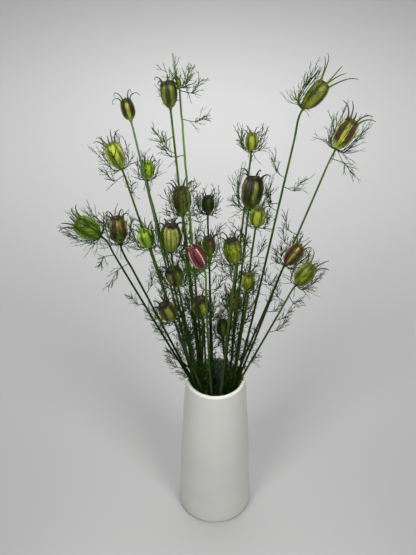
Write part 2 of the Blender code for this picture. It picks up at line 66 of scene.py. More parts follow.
class Value:
    # a node's output, on which sums add Math nodes

    def __init__(self, finish, socket):
        self.finish, self.socket = finish, socket

    def math(self, operation, first, second=0.0):
        return self.finish.node("Math", {"operation": operation}, {0: first, 1: second})

    def __add__(self, other):
        return self.math("ADD", self, other)

    def __radd__(self, other):
        return self.math("ADD", other, self)

    def __sub__(self, other):
        return self.math("SUBTRACT", self, other)

    def __rsub__(self, other):
        return self.math("SUBTRACT", other, self)

    def __mul__(self, other):
        return self.math("MULTIPLY", self, other)

    def __rmul__(self, other):
        return self.math("MULTIPLY", other, self)

    def __mod__(self, other):
        return self.math("MODULO", self, other)

    def __abs__(self):
        return self.math("ABSOLUTE", self)

    def step(self, start, end):
        # a soft step from 0 at start to 1 at end
        inputs = {"Value": self, "From Min": start, "From Max": end}
        return self.finish.node("MapRange", {"interpolation_type": "SMOOTHSTEP"}, inputs)


class Finish:
    # a material and its Principled shader

    def __init__(self, name):
        self.material = bpy.data.materials.new(name)
        self.material.use_nodes = True
        self.tree = self.material.node_tree
        self.shader = self.tree.nodes["Principled BSDF"]

    def fill(self, socket, value):
        if isinstance(value, Value):
            self.tree.links.new(value.socket, socket)
        else:
            socket.default_value = value

    def node(self, kind, settings, inputs, output=0):
        made = self.tree.nodes.new("ShaderNode" + kind)
        for key, value in settings.items():
            setattr(made, key, value)
        for key, value in inputs.items():
            self.fill(made.inputs[key], value)
        return Value(self, made.outputs[output])

    def mix(self, share, first, second):
        # sockets 6 and 7 take the two colours, and socket 2 gives the mixed one
        first, second = ((*c, 1) if isinstance(c, tuple) else c for c in (first, second))
        return self.node("Mix", {"data_type": "RGBA"}, {0: share, 6: first, 7: second}, 2)

    def place(self):
        return self.node("TexCoord", {}, {}, "Object")

    def height(self):
        return self.node("SeparateXYZ", {}, {0: self.place()}, "Z")

    def mapped(self, axis):
        # one axis of the mesh's map
        where = self.node("UVMap", {"uv_map": "UVMap"}, {})
        return self.node("SeparateXYZ", {}, {0: where}, axis)

    def noise(self, scale, detail=2.0, stretch=(1, 1, 1)):
        where = self.node("Mapping", {}, {"Vector": self.place(), "Scale": stretch})
        return self.node("TexNoise", {}, {"Vector": where, "Scale": scale, "Detail": detail})

    def bump(self, height, strength, distance):
        return self.node("Bump", {}, {"Height": height, "Strength": strength, "Distance": distance})

    def set(self, **sockets):
        for key, value in sockets.items():
            self.fill(self.shader.inputs[key.replace("_", " ")], value)
        return self.material


# tools for the pieces


def selectOnly(*things):
    bpy.ops.object.select_all(action="DESELECT")
    for thing in things:
        thing.select_set(True)
    bpy.context.view_layer.objects.active = things[0]


def joined(things):
    selectOnly(*things)
    bpy.ops.object.join()
    return things[0]


def smoothLine(points, steps):
    # a smooth line through the points, with this many steps from each to the next
    ends = [points[0] * 2 - points[1], *points, points[-1] * 2 - points[-2]]
    line = []
    for a, b, c, d in zip(ends, ends[1:], ends[2:], ends[3:]):
        for k in range(steps):
            t = k / steps
            curl = (2 * a - 5 * b + 4 * c - d) * t**2 + (3 * b - a - 3 * c + d) * t**3
            line.append((2 * b + (c - a) * t + curl) / 2)
    return line + [points[-1]]


def drawTubes(name, lines, roundness, finish):
    # one closed tube along each line of points, with a radius for each point
    curve = bpy.data.curves.new(name, "CURVE")
    curve.dimensions = "3D"
    curve.bevel_depth = 1
    curve.bevel_resolution = roundness
    curve.use_fill_caps = True
    for points, radii in lines:
        spline = curve.splines.new("POLY")
        spline.points.add(len(points) - 1)
        spline.points.foreach_set("co", [value for point in points for value in (*point, 1)])
        spline.points.foreach_set("radius", radii)
    tubes = bpy.data.objects.new(name, curve)
    bpy.context.collection.objects.link(tubes)
    selectOnly(tubes)
    bpy.ops.object.convert(target="MESH")
    tubes.data.materials.append(finish)
    bpy.ops.object.shade_smooth()
    return tubes


# vase

vase = {
    "height": 220 * mm,
    "footRadius": 47 * mm,
    "rimRadius": 35.3 * mm,
    "bulge": 1.1 * mm,
    "wall": 3.5 * mm,
    "floor": 6 * mm,
    "footRounding": 5 * mm,
    "lipRounding": 1.2 * mm,
    "around": 128,
    "footSteps": 10,
    "outerSteps": 24,
    "lipSteps": 6,
    "innerSteps": 12,
    "smoothAngle": 40,
}

vaseGlaze = {
    "white": (0.65, 0.65, 0.615),
    "shade": (0.61, 0.61, 0.58),
    "specks": (0.5, 0.48, 0.42),
    # the lip's lighter colour is partly a creamy glaze, partly a painted highlight where the
    # rounded lip catches the light
    "lip": (0.90, 0.88, 0.80),
    "lipAndHighlightHeights": (0.2165, 0.2180),
    "cloudScale": 14,
    "cloudEdges": (0.3, 0.7),
    "grainScale": 900,
    "grainRelief": 0.4,
    "speckScale": 1500,
    "speckEdges": (0.74, 0.80),
    "speckStrength": 0.25,
    "roughness": 0.5,
    "grainRoughness": 0.15,
    "bump": (0.15, 0.0004),
}


def vaseRadius(height):
    share = height / vase["height"]
    taper = vase["footRadius"] + (vase["rimRadius"] - vase["footRadius"]) * share
    return taper + vase["bulge"] * math.sin(math.pi * share**1.5)


def arc(middle, radius, first, last, steps):
    turns = [math.radians(first + (last - first) * k / steps) for k in range(steps + 1)]
    return [(middle[0] + radius * math.cos(t), middle[1] + radius * math.sin(t)) for t in turns]


def levelsBetween(low, high, steps):
    return [low + (high - low) * k / steps for k in range(1, steps)]


def vaseOutline():
    # radius and height, from the middle of the base up the outside, over the lip and down
    height, lip, foot = vase["height"], vase["lipRounding"], vase["footRounding"]
    outer = (vase["rimRadius"] - lip, height - lip)
    inner = (vase["rimRadius"] - vase["wall"] + lip, height - lip)
    outline = arc((vase["footRadius"] - foot, foot), foot, -90, 0, vase["footSteps"])
    levels = levelsBetween(foot, height - lip, vase["outerSteps"])
    outline += [(vaseRadius(level), level) for level in levels]
    outline += arc(outer, lip, 0, 90, vase["lipSteps"]) + arc(inner, lip, 90, 180, vase["lipSteps"])
    levels = [vase["floor"], *levelsBetween(vase["floor"], height - lip, vase["innerSteps"])]
    return outline + [(vaseRadius(level) - vase["wall"], level) for level in reversed(levels)]


def makeVase():
    # a filled ring drawn up and over, one step of the outline at a time
    outline = vaseOutline()
    around, radius = vase["around"], outline[0][0]
    bpy.ops.mesh.primitive_circle_add(vertices=around, radius=radius, fill_type="TRIFAN")
    made = bpy.context.object
    made.name = "smooth_vase"
    bpy.ops.object.mode_set(mode="EDIT")
    bpy.ops.mesh.select_all(action="SELECT")
    bpy.ops.mesh.flip_normals()
    bpy.ops.mesh.select_mode(type="EDGE")
    bpy.ops.mesh.select_all(action="DESELECT")
    bpy.ops.mesh.select_non_manifold()
    for (radius, height), (nextRadius, nextHeight) in zip(outline, outline[1:]):
        scale = nextRadius / radius
        rise = {"value": (0, 0, nextHeight - height)}
        bpy.ops.mesh.extrude_edges_move(TRANSFORM_OT_translate=rise)
        bpy.ops.transform.resize(value=(scale, scale, 1), center_override=(0, 0, nextHeight))
    bpy.ops.mesh.edge_face_add()
    bpy.ops.mesh.poke()
    bpy.ops.mesh.select_all(action="SELECT")
    bpy.ops.mesh.normals_make_consistent(inside=False)
    bpy.ops.object.mode_set(mode="OBJECT")
    bpy.ops.object.shade_smooth_by_angle(angle=math.radians(vase["smoothAngle"]))
    made.data.materials.append(vaseSkin())
    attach(made, "root")
    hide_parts("vase")


def vaseSkin():
    glaze = vaseGlaze
    finish = Finish("matte white stoneware")
    cloudy = finish.noise(glaze["cloudScale"], 3)
    grain = finish.noise(glaze["grainScale"], 2)
    specks = finish.noise(glaze["speckScale"], 0).step(*glaze["speckEdges"])
    # the lip band: creamy glaze and painted highlight
    lip = finish.height().step(*glaze["lipAndHighlightHeights"])
    colour = finish.mix(cloudy.step(*glaze["cloudEdges"]), glaze["shade"], glaze["white"])
    colour = finish.mix(specks * glaze["speckStrength"], colour, glaze["specks"])
    colour = finish.mix(lip, colour, glaze["lip"])
    return finish.set(
        Base_Color=colour,
        Roughness=glaze["roughness"] + glaze["grainRoughness"] * grain,
        Normal=finish.bump(grain * glaze["grainRelief"] + cloudy, *glaze["bump"]),
    )


makeVase()
print("vase made")


# pods

# One row for each pod, with the sizes in millimetres: its middle, its width and length, how
# far it leans to the right and to the back for each unit up, the length of its horns, their
# tilt past the middle and the curl of their ends in radians, how far its bracts stand out and
# rise past it, its material slot and its look.
Pod = namedtuple("Pod", "middle width length lean horn spread curl flare rise slot look")
pods = (
    Pod((-127, -45, 466), 21.5, 27, (-1.60, 0.20), 16, 0.9, 0.8, 9, 8, "green", "leafGreen"),
    Pod((-101, -15, 443), 18.5, 29, (-0.08, 0.20), 13, 1.9, 2.2, 8, 6, "striped", "purpleBrown"),
    Pod((-103, 25, 507), 17.5, 28, (-0.44, 0.25), 15, 0.8, 0.8, 9, 8, "green", "nettedGreen"),
    Pod((-85, 0, 572), 14.0, 21, (-0.21, 0.10), 17, 2.3, 1.4, 0, 0, "striped", "purpleStripe"),
    Pod((-73, 45, 478), 15.5, 19.5, (0.07, 0.15), 9, 1.5, 2.4, 4, 5, "green", "leafGreen"),
    Pod((-46, 5, 585), 16.5, 26, (-0.09, 0.10), 12, 1.9, 2.0, 3, 3, "dark", "oliveStripe"),
    Pod((-69, -55, 461), 16.0, 20.5, (-0.30, 0.10), 10, 1.0, 0.6, 6, 5, "green", "leafGreen"),
    Pod((-37, 40, 443), 20.5, 30, (-0.08, 0.25), 14, 1.0, 1.0, 7, 6, "dark", "purpleEdge"),
    Pod((-45, -60, 465), 21.0, 28.5, (-0.02, 0.25), 9, 1.6, 1.2, 4, 4, "striped", "feathered"),
    Pod((-9, 70, 418), 15.0, 20.5, (0.02, 0.20), 10, 1.0, 0.5, 7, 5, "dark", "blackGreen"),
    Pod((-8, 25, 393), 15.5, 23, (-0.04, 0.10), 10, 0.9, 0.8, 5, 5, "olive", "bronze"),
    Pod((-19, -90, 464), 17.0, 26.5, (-0.46, 0.05), 12, 1.0, 0.8, 4, 4, "burgundy", "burgundy"),
    Pod((-44, -25, 390), 19.5, 22.5, (-0.26, 0.00), 12, 2.0, 1.8, 4, 4, "striped", "duskyGreen"),
    Pod((-49, -80, 388), 18.0, 23, (-0.44, 0.00), 11, 2.0, 1.8, 4, 3, "olive", "duskyGreen"),
    Pod((-16, -40, 361), 20.0, 24, (-0.10, 0.00), 9, 1.9, 1.4, 4, 4, "striped", "purpleStripe"),
    Pod((8, 0, 296), 15.0, 22, (-0.06, 0.10), 10, 0.9, 0.6, 3, 3, "olive", "oliveStripe"),
    Pod((20, -10, 343), 17.0, 22, (-0.03, 0.00), 9, 1.5, 1.0, 5, 4, "dark", "brown"),
    Pod((34, -20, 378), 15.0, 22, (0.00, 0.10), 9, 1.1, 0.8, 5, 4, "green", "nettedGreen"),
    Pod((15, -80, 464), 17.5, 26, (-0.15, 0.15), 12, 1.5, 1.4, 6, 5, "green", "blotched"),
    Pod((42, 0, 449), 16.5, 22, (0.12, 0.10), 9, 1.0, 0.6, 4, 4, "green", "nettedGreen"),
    Pod((37, 30, 459), 24.0, 35, (0.15, 0.30), 14, 1.8, 1.4, 7, 7, "dark", "purpleRidge"),
    Pod((38, 80, 492), 14.5, 20, (0.03, 0.10), 10, 1.2, 0.8, 7, 7, "olive", "oliveGreen"),
    Pod((91, 0, 587), 17.5, 31, (0.76, 0.15), 27, 0.62, 0.6, 6, 15, "green", "nettedGreen"),
    Pod((132, 50, 518), 20.0, 34, (0.55, 0.20), 22, 1.1, 0.3, 9, 7, "striped", "purpleStripe"),
    Pod((82, 0, 400), 17.0, 27.5, (0.67, 0.15), 13, 0.7, 0.8, 7, 6, "burgundy", "burgundyRidge"),
    Pod((91, -35, 400), 19.0, 26.5, (0.69, 0.10), 18, 0.9, 0.6, 9, 6, "olive", "oliveGreen"),
    Pod((-37, 20, 590), 5.0, 10, (-0.05, 0.00), 4, 0.5, 0.4, 10, 44, "olive", "oliveGreen"),
    Pod((-15, -10, 299), 7.0, 12, (0.00, 0.00), 4, 0.5, 0.4, 3, 3, "olive", "oliveGreen"),
)

# How each kind of pod is coloured: two colours for the ribs, the dark band's colour and where
# it starts, from 0 on a rib to 1 in a groove, or across a face that is this share of the way
# round, how strong the band, the veins, the feathered veins and the dark crown are, and the
# colours of the veins, of the base and of the line along a rib. What a look leaves out is as
# in the plain look, or isn't there.
plainLook = {"crown": 0.35, "strength": 0.85, "veins": 0.28, "feather": 0.35, "lineWidth": 0.16}
looks = {
    "leafGreen": {
        "ribs": ((0.27, 0.40, 0.02), (0.14, 0.25, 0.012)),
        "band": (0.045, 0.085, 0.008),
        "from": 0.72,
        "crown": 0.45,
    },
    "nettedGreen": {
        "ribs": ((0.32, 0.40, 0.03), (0.19, 0.21, 0.03)),
        "band": (0.045, 0.07, 0.01),
        "from": 0.72,
        "crown": 0.6,
        "veins": 0.65,
        "vein": (0.13, 0.055, 0.02),
    },
    "oliveGreen": {
        "ribs": ((0.24, 0.29, 0.02), (0.13, 0.17, 0.012)),
        "band": (0.045, 0.04, 0.01),
        "from": 0.66,
        "veins": 0.4,
        "vein": (0.09, 0.05, 0.012),
    },
    "oliveStripe": {
        "ribs": ((0.17, 0.24, 0.02), (0.09, 0.12, 0.012)),
        "band": (0.028, 0.014, 0.012),
        "from": 0.5,
        "crown": 0.8,
        "veins": 0.4,
    },
    "feathered": {
        "ribs": ((0.36, 0.41, 0.09), (0.21, 0.25, 0.04)),
        "band": (0.030, 0.006, 0.012),
        "face": 0.13,
        "from": 1.0,
        "strength": 0.97,
        "veins": 0.6,
        "feather": 1.0,
        "vein": (0.15, 0.13, 0.015),
        "line": (0.12, 0.07, 0.012),
        "lineWidth": 0.3,
        "crown": 0.95,
    },
    "purpleStripe": {
        "ribs": ((0.42, 0.50, 0.05), (0.22, 0.27, 0.025)),
        "band": (0.038, 0.009, 0.018),
        "from": 0.4,
        "strength": 0.95,
        "veins": 0.4,
        "crown": 0.9,
    },
    "purpleRidge": {
        "ribs": ((0.17, 0.23, 0.02), (0.08, 0.10, 0.015)),
        "band": (0.018, 0.006, 0.010),
        "from": 0.3,
        "strength": 0.95,
        "veins": 0.55,
        "vein": (0.05, 0.03, 0.02),
        "crown": 0.85,
    },
    "purpleEdge": {
        "ribs": ((0.17, 0.23, 0.03), (0.12, 0.07, 0.03)),
        "band": (0.045, 0.010, 0.018),
        "from": 0.42,
        "strength": 0.7,
        "veins": 0.85,
        "vein": (0.035, 0.012, 0.012),
        "crown": 0.5,
    },
    "purpleBrown": {
        "ribs": ((0.17, 0.20, 0.04), (0.20, 0.08, 0.03)),
        "band": (0.026, 0.008, 0.014),
        "from": 0.52,
        "strength": 0.9,
        "veins": 0.8,
        "vein": (0.04, 0.015, 0.010),
        "crown": 0.95,
    },
    "blackGreen": {
        "ribs": ((0.05, 0.085, 0.012), (0.025, 0.045, 0.008)),
        "band": (0.010, 0.010, 0.006),
        "from": 0.5,
        "veins": 0.5,
        "crown": 0.7,
    },
    "blotched": {
        "ribs": ((0.44, 0.54, 0.03), (0.16, 0.17, 0.012)),
        "band": (0.05, 0.03, 0.01),
        "face": 0.16,
        "from": 1.0,
        "veins": 0.85,
        "vein": (0.07, 0.045, 0.01),
        "crown": 1.0,
    },
    "bronze": {
        "ribs": ((0.20, 0.18, 0.02), (0.09, 0.05, 0.015)),
        "band": (0.022, 0.008, 0.010),
        "from": 0.4,
        "veins": 0.6,
        "vein": (0.04, 0.02, 0.008),
        "crown": 0.85,
        "base": (0.12, 0.15, 0.02),
    },
    "duskyGreen": {
        "ribs": ((0.24, 0.29, 0.03), (0.13, 0.15, 0.018)),
        "band": (0.03, 0.010, 0.014),
        "from": 0.62,
        "veins": 0.6,
        "vein": (0.06, 0.03, 0.012),
        "crown": 1.0,
    },
    "brown": {
        "ribs": ((0.09, 0.075, 0.012), (0.055, 0.03, 0.010)),
        "band": (0.02, 0.012, 0.006),
        "from": 0.5,
        "veins": 0.7,
        "vein": (0.02, 0.012, 0.006),
        "crown": 0.6,
        "base": (0.12, 0.15, 0.02),
    },
    "burgundy": {
        "ribs": ((0.20, 0.03, 0.06), (0.10, 0.012, 0.03)),
        "band": (0.035, 0.005, 0.012),
        "from": 0.8,
        "line": (0.60, 0.48, 0.20),
        "lineWidth": 0.2,
        "veins": 0.35,
        "crown": 0.2,
        "base": (0.26, 0.32, 0.05),
    },
    "burgundyRidge": {
        "ribs": ((0.10, 0.045, 0.022), (0.065, 0.022, 0.016)),
        "band": (0.03, 0.006, 0.010),
        "from": 0.8,
        "line": (0.20, 0.27, 0.03),
        "lineWidth": 0.42,
        "veins": 0.6,
        "crown": 0.6,
        "base": (0.14, 0.16, 0.02),
    },
}

# how many times as light as its look each pod is, else once: partly the pod's own tone, partly
# painted shade for pods deep in the bouquet and painted light for pods out in the light
tonesAndPaintedLight = {
    1: 0.6, 2: 2.5, 3: 1.8, 4: 0.7, 5: 1.5, 6: 0.65, 7: 1.1, 9: 0.75, 10: 1.4, 11: 1.3,
    12: 0.9, 13: 0.75, 14: 0.7, 15: 0.7, 16: 0.4, 17: 2, 18: 1.1, 19: 0.55, 20: 0.95,
    22: 1.3, 23: 0.55, 24: 1.4, 25: 1.5, 27: 1.6, 28: 0.4,
}

podShape = {
    "around": 60,
    "rings": 44,
    "crownShare": 0.88,  # the part of the rings below the crown's edge
    "crownCut": 0.90,
    "heightPower": 1.1,
    "girthPowers": (2.2, 0.476),
    "dimple": 0.05,
    "shoulders": 0.035,
    "shoulderEnd": 1.4,
    "groove": 0.15,
    "ribPower": 0.8,
    "keel": 0.025,
    "keelWidth": 0.09,
    "plainBase": 0.25,  # the ribs grow over this part of the height
    "waves": (1, 2, 3),
    "unevenness": 0.03,
}

hornShape = {
    "root": 0.305,
    "rootHeight": 0.965,
    "packedFrom": 1.05,
    "radii": (0.062, 0.042, 0.032, 0.024, 0.014),
    "steps": 14,
    "firstTilt": 0.4,
    "sideways": 0.35,
    "curlFrom": 0.62,
    "lengths": (0.88, 1.08),
    "spreads": (0.85, 1.15),
    "curls": (0.4, 1.5),
    "roundness": 2,
}

# Heights are shares of the way from a pod's base to its crown, and turns are shares of the
# way round, from the rib in front.
podPaint = {
    "wobbleScale": 260,
    "patchScale": 90,
    "patchEdges": (0.35, 0.65),
    "carpelWobble": 0.12,
    "edgePatches": 0.3,
    "facePatches": 0.2,
    "front": (0.09, 0.11),
    # painted shade: the ribs turned away from the camera get more of the dark band
    "paintedSideShade": 0.1,  # how much farther the dark band comes over the ribs that aren't in front
    "bandBefore": 0.1,
    "bandAfter": 0.14,
    "bandHeights": (0.03, 0.35),
    "crownHeights": (0.87, 0.99),
    "crownWobble": 0.2,
    "crownPatches": 0.12,
    "crownStrength": 0.8,
    "crownDepth": 0.35,  # how dark the crown's colour is beside the band's
    "capHeights": (1.03, 1.08),
    "capFade": 0.5,
    "cellsAcross": 2.6,
    "cellsUp": 11.0,
    "cellSlope": 1.8,
    "veinWidths": (0.02, 0.13),
    "feathersUp": 10.0,
    "featherWobble": 0.8,
    "featherWidths": (0.03, 0.25),
    "faceSlope": 14.0,
    "ribSlope": 1.4,
    "baseHeights": (0.0, 0.22),
    "baseStrength": 0.8,
    "lineHeights": (0.05, 0.2),
    "lineFrom": 0.02,
    "lineStrength": 0.9,
    "relief": (0.5, 0.6, 0.35),  # of the wobble, the line and, downwards, the veins
    "roughness": 0.27,
    "patchRoughness": 0.16,
    "crownRoughness": 0.35,
    "specular": 0.24,
    "bump": (0.45, 0.0006),
}

hornPaint = {
    "pale": ((0.085, 0.13, 0.010), (0.030, 0.030, 0.006)),
    "deep": ((0.050, 0.055, 0.008), (0.016, 0.010, 0.005)),
    "paleLooks": (
        "leafGreen", "nettedGreen", "oliveGreen", "purpleStripe", "oliveStripe", "burgundyRidge",
    ),
    "fade": (0.15, 0.85),
    "fadeStreaks": 0.3,
    "streakScale": 700,
    "roughness": 0.42,
    "streakRoughness": 0.15,
    "specular": 0.12,
    "bump": (0.2, 0.0002),
}

carpels = 5
podSeed = 500
cameraPlace = (-0.009, -0.773, 0.9737)


def podWay(pod):
    return Vector((pod.lean[0], pod.lean[1], 1)).normalized()


def podBase(pod):
    return (Vector(pod.middle) - podWay(pod) * pod.length / 2) * mm


def podMatrix(pod):
    turned = podWay(pod).to_track_quat("Z", "Y").to_matrix().to_4x4()
    return Matrix.Translation(podBase(pod)) @ turned


def podProfile(share):
    # the girth at a share of the height, cut off where the crown is
    first, second = podShape["girthPowers"]
    cut = 2 * podShape["crownCut"] * np.clip(share, 0, 1) ** podShape["heightPower"] - 1
    return (1 - abs(cut) ** first) ** second


def hornTurn(pod, node):
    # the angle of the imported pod's horn that is nearest to the camera, by its vertices above
    # the crown: their turns from the front, times five, point the same way for every horn
    inverse = podMatrix(pod).inverted()
    points = [inverse @ vert.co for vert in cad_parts[node].data.vertices]
    above = [point for point in points if point.z > hornShape["packedFrom"] * pod.length * mm]
    seen = inverse @ Vector(cameraPlace)
    front = math.atan2(seen.y, seen.x)
    turns = [math.atan2(point.y, point.x) - front for point in above]
    total = sum(np.exp(1j * carpels * turn) for turn in turns)
    return front + float(np.angle(total)) / carpels


def shaded(colour, tone):
    return tuple(value * tone for value in colour)


def podSkin(name, look, tone):
    look = {**plainLook, **look}
    # the tone makes the look lighter or darker: partly the pod's own tone, partly painted light and
    # shade
    first, second = (shaded(colour, tone) for colour in look["ribs"])
    band = shaded(look["band"], tone**2 if tone < 1 else tone**0.5)
    vein = shaded(look["vein"], tone) if "vein" in look else band
    base = shaded(look["base"], tone) if "base" in look else first
    paint = podPaint
    finish = Finish(name)
    wobble = finish.noise(paint["wobbleScale"], 3)
    patches = finish.noise(paint["patchScale"], 2)
    shift, drift = wobble - 0.5, patches - 0.5
    around, height = finish.mapped("X"), finish.mapped("Y")
    turn = abs(around - 0.5)
    carpel = around * carpels + shift * paint["carpelWobble"]
    side = abs((carpel % 1.0) - 0.5) * 2
    share = height * (1 / podShape["crownShare"])

    # the dark bands along the grooves and the dark crown
    if "face" in look:
        edge = turn * (1 / look["face"]) + drift * paint["facePatches"]
        slope = turn * paint["faceSlope"]
    else:
        # painted shade on the carpels that face away from the camera
        paintedSideShade = turn.step(*paint["front"]) * paint["paintedSideShade"]
        edge = side + drift * paint["edgePatches"] + paintedSideShade
        slope = side * paint["ribSlope"]
    flank = edge.step(look["from"] - paint["bandBefore"], look["from"] + paint["bandAfter"])
    flank = flank * share.step(*paint["bandHeights"])
    ragged = share + shift * paint["crownWobble"] + drift * paint["crownPatches"]
    crown = ragged.step(*paint["crownHeights"]) * look["crown"]
    crown = crown * (1 - paint["capFade"] * share.step(*paint["capHeights"]))
    dark = flank.math("MAXIMUM", flank * look["strength"], crown)

    # the net of veins, and the slanting ones that look feathered
    up = share * paint["cellsUp"] - side * paint["cellSlope"]
    cells = finish.node("CombineXYZ", {}, {0: carpel * paint["cellsAcross"], 1: up, 2: 0.0})
    cells = {"Vector": cells, "Scale": 1.0}
    net = finish.node("TexVoronoi", {"feature": "DISTANCE_TO_EDGE"}, cells)
    veins = 1 - net.step(*paint["veinWidths"])
    row = (share * paint["feathersUp"] - slope + shift * paint["featherWobble"]) % 1.0
    feather = 1 - abs(row - 0.5).step(*paint["featherWidths"])
    netted = (veins * (1 - look["feather"]) + feather * look["feather"]) * look["veins"]

    # the line along each rib
    line = 1 - side.step(paint["lineFrom"], look["lineWidth"])
    line = line * share.step(*paint["lineHeights"])

    low = (1 - share.step(*paint["baseHeights"])) * paint["baseStrength"]
    colour = finish.mix(patches.step(*paint["patchEdges"]), first, second)
    colour = finish.mix(low, colour, base)
    colour = finish.mix(netted, colour, vein)
    colour = finish.mix(dark, colour, band)
    deepest = shaded(band, paint["crownDepth"])
    colour = finish.mix(crown * paint["crownStrength"], colour, deepest)
    if "line" in look:
        colour = finish.mix(line * paint["lineStrength"], colour, shaded(look["line"], tone))
    uneven, raised, sunk = paint["relief"]
    relief = wobble * uneven + line * raised - veins * sunk
    rough = paint["patchRoughness"] * patches + paint["crownRoughness"] * crown
    return finish.set(
        Base_Color=colour,
        Roughness=paint["roughness"] + rough,
        Specular_IOR_Level=paint["specular"],
        Normal=finish.bump(relief, *paint["bump"]),
    )


def hornSkin(name, root, tip):
    finish = Finish(name)
    streaks = finish.noise(hornPaint["streakScale"], 2)
    along = finish.mapped("Y") + (streaks - 0.5) * hornPaint["fadeStreaks"]
    return finish.set(
        Base_Color=finish.mix(along.step(*hornPaint["fade"]), root, tip),
        Roughness=hornPaint["roughness"] + hornPaint["streakRoughness"] * streaks,
        Specular_IOR_Level=hornPaint["specular"],
        Normal=finish.bump(streaks, *hornPaint["bump"]),
    )


skins = [
    podSkin(f"pod skin {i:02d}", looks[pod.look], tonesAndPaintedLight.get(i, 1))
    for i, pod in enumerate(pods, 1)
]
hornSkins = {
    "pale": hornSkin("green horns", *hornPaint["pale"]),
    "deep": hornSkin("purple horns", *hornPaint["deep"]),
}


def podBlank():
    # a sphere of many rings, shaped into each pod in turn
    around, rings = podShape["around"], podShape["rings"]
    bpy.ops.object.select_all(action="DESELECT")
    bpy.ops.mesh.primitive_uv_sphere_add(segments=around, ring_count=rings, radius=1)
    blank = bpy.context.object
    blank.name = "pod_blank"
    bpy.ops.object.shade_smooth()
    return blank


def shapePod(mesh, pod, first, draw):
    # each ring of the sphere takes the pod's girth, with a rib over every carpel
    points = np.empty(len(mesh.vertices) * 3)
    mesh.vertices.foreach_get("co", points)
    x, y, z = points.reshape(-1, 3).T
    turn = np.arctan2(y, x)
    ring = np.arccos(np.clip(-z, -1, 1)) / math.pi
    share = np.clip(ring / podShape["crownShare"], 0, 1)
    cap = np.clip((ring - podShape["crownShare"]) / (1 - podShape["crownShare"]), 0, 1)
    rib = abs(np.cos(carpels / 2 * turn))
    off = np.angle(np.exp(1j * carpels * turn)) / math.pi
    fade = np.minimum(1, share / podShape["plainBase"]) * (1 - cap)
    girth = 1 - podShape["groove"] * (1 - rib ** podShape["ribPower"]) * fade
    girth += podShape["keel"] * np.exp(-((off / podShape["keelWidth"]) ** 2)) * fade
    for k in podShape["waves"]:
        phase = draw.uniform(0, 2 * math.pi)
        size = draw.uniform(0.3, 1) * podShape["unevenness"] / k
        girth += size * np.sin(k * turn + phase + 2 * share) * np.sin(math.pi * share)
    radius = pod.width * mm / 2 * podProfile(share) * girth * (1 - cap)
    dimple = podShape["dimple"] * np.sin(math.pi / 2 * cap)
    shoulders = np.sin(math.pi * np.minimum(1, cap * podShape["shoulderEnd"]))
    height = pod.length * mm * (share - dimple + podShape["shoulders"] * rib * shoulders)
    shaped = np.column_stack((radius * np.cos(turn + first), radius * np.sin(turn + first), height))
    mesh.vertices.foreach_set("co", shaped.ravel())


def hornLine(pod, turn, draw):
    # up from the crown, then out and over, with a curled end
    shape = hornShape
    out = Vector((math.cos(turn), math.sin(turn), 0))
    beside = Vector((-out.y, out.x, 0)) * draw.uniform(-1, 1) * shape["sideways"]
    up = Vector((0, 0, shape["rootHeight"] * pod.length * mm))
    point = up + out * shape["root"] * pod.width * mm
    length = pod.horn * mm * draw.uniform(*shape["lengths"])
    spread = pod.spread * draw.uniform(*shape["spreads"])
    curl = pod.curl * draw.uniform(*shape["curls"])
    points = [point]
    for k in range(shape["steps"]):
        share = (k + 0.5) / shape["steps"]
        swung = min(max(share * 1.5 - 0.25, 0), 1)  # from a sixth to five sixths of the way
        curled = max(0, share - shape["curlFrom"]) / (1 - shape["curlFrom"])
        tilt = shape["firstTilt"] + (spread - shape["firstTilt"]) * swung + curl * curled
        step = out * math.sin(tilt) + Vector((0, 0, math.cos(tilt))) + beside * share
        point = point + step.normalized() * length / shape["steps"]
        points.append(point)
    return points


def taper(values, count):
    # this many values along the few given ones
    places = np.linspace(0, len(values) - 1, count)
    return [float(value) for value in np.interp(places, range(len(values)), values)]


def makePod(i, pod, blank):
    draw = random.Random(podSeed + i)
    first = hornTurn(pod, f"seed_pod_{i:02d}")
    body = bpy.data.objects.new(f"ribbed_pod_{i:02d}", blank.data.copy())
    bpy.context.collection.objects.link(body)
    shapePod(body.data, pod, first, draw)
    body.data.materials.append(skins[i - 1])
    lines = []
    for k in range(carpels):
        line = hornLine(pod, first + 2 * math.pi * k / carpels, draw)
        radii = [radius * pod.width * mm for radius in taper(hornShape["radii"], len(line))]
        lines.append((line, radii))
    kind = "pale" if pod.look in hornPaint["paleLooks"] else "deep"
    horns = drawTubes(f"horns_{i:02d}", lines, hornShape["roundness"], hornSkins[kind])
    paintHorns(horns.data, pod)
    body = joined([body, horns])
    body.data.transform(podMatrix(pod))
    body.data.update()
    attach(body, "root")
    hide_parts(f"seed_pod_{i:02d}")


def paintHorns(mesh, pod):
    # the map's height is the share of the horn's length, from the crown
    layer = mesh.uv_layers.get("UVMap") or mesh.uv_layers.new(name="UVMap")
    crown = Vector((0, 0, pod.length * mm))
    for loop in mesh.loops:
        reach = (mesh.vertices[loop.vertex_index].co - crown).length / (pod.horn * mm)
        layer.data[loop.index].uv = (0.5, min(reach, 1))


blank = podBlank()
for i, pod in enumerate(pods, 1):
    makePod(i, pod, blank)
bpy.data.objects.remove(blank, do_unlink=True)
print("pods made")


# stems and threads

stemShape = {
    "lowRadius": 1.65 * mm,
    "topRadius": 1.05 * mm,
    "collarRadius": 2.0 * mm,
    "collarShare": 0.2,  # of the pod's width, at the most
    "collarLength": 4 * mm,
    "intoPod": 0.6 * mm,
    "smoothSteps": 2,
    "roundness": 3,
    "slice": 5 * mm,
    "footRing": 0.5 * mm,
    "firstReach": 6 * mm,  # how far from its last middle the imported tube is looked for
    "reach": 2.9 * mm,
}

# how a packed stem's threads are told from its tube, by the edges of its mesh
packedThread = {
    "shortEdge": 2.6 * mm,  # a tip has longer ones only
    "widest": 1.4 * mm,  # of the ring before the tip
    "ribEdges": 3,  # at a rib's tip, where a side thread has more
    "nearStem": 3 * mm,
    "onStem": 1 * mm,
    "step": 1.8 * mm,
    "mostSteps": 9,
}

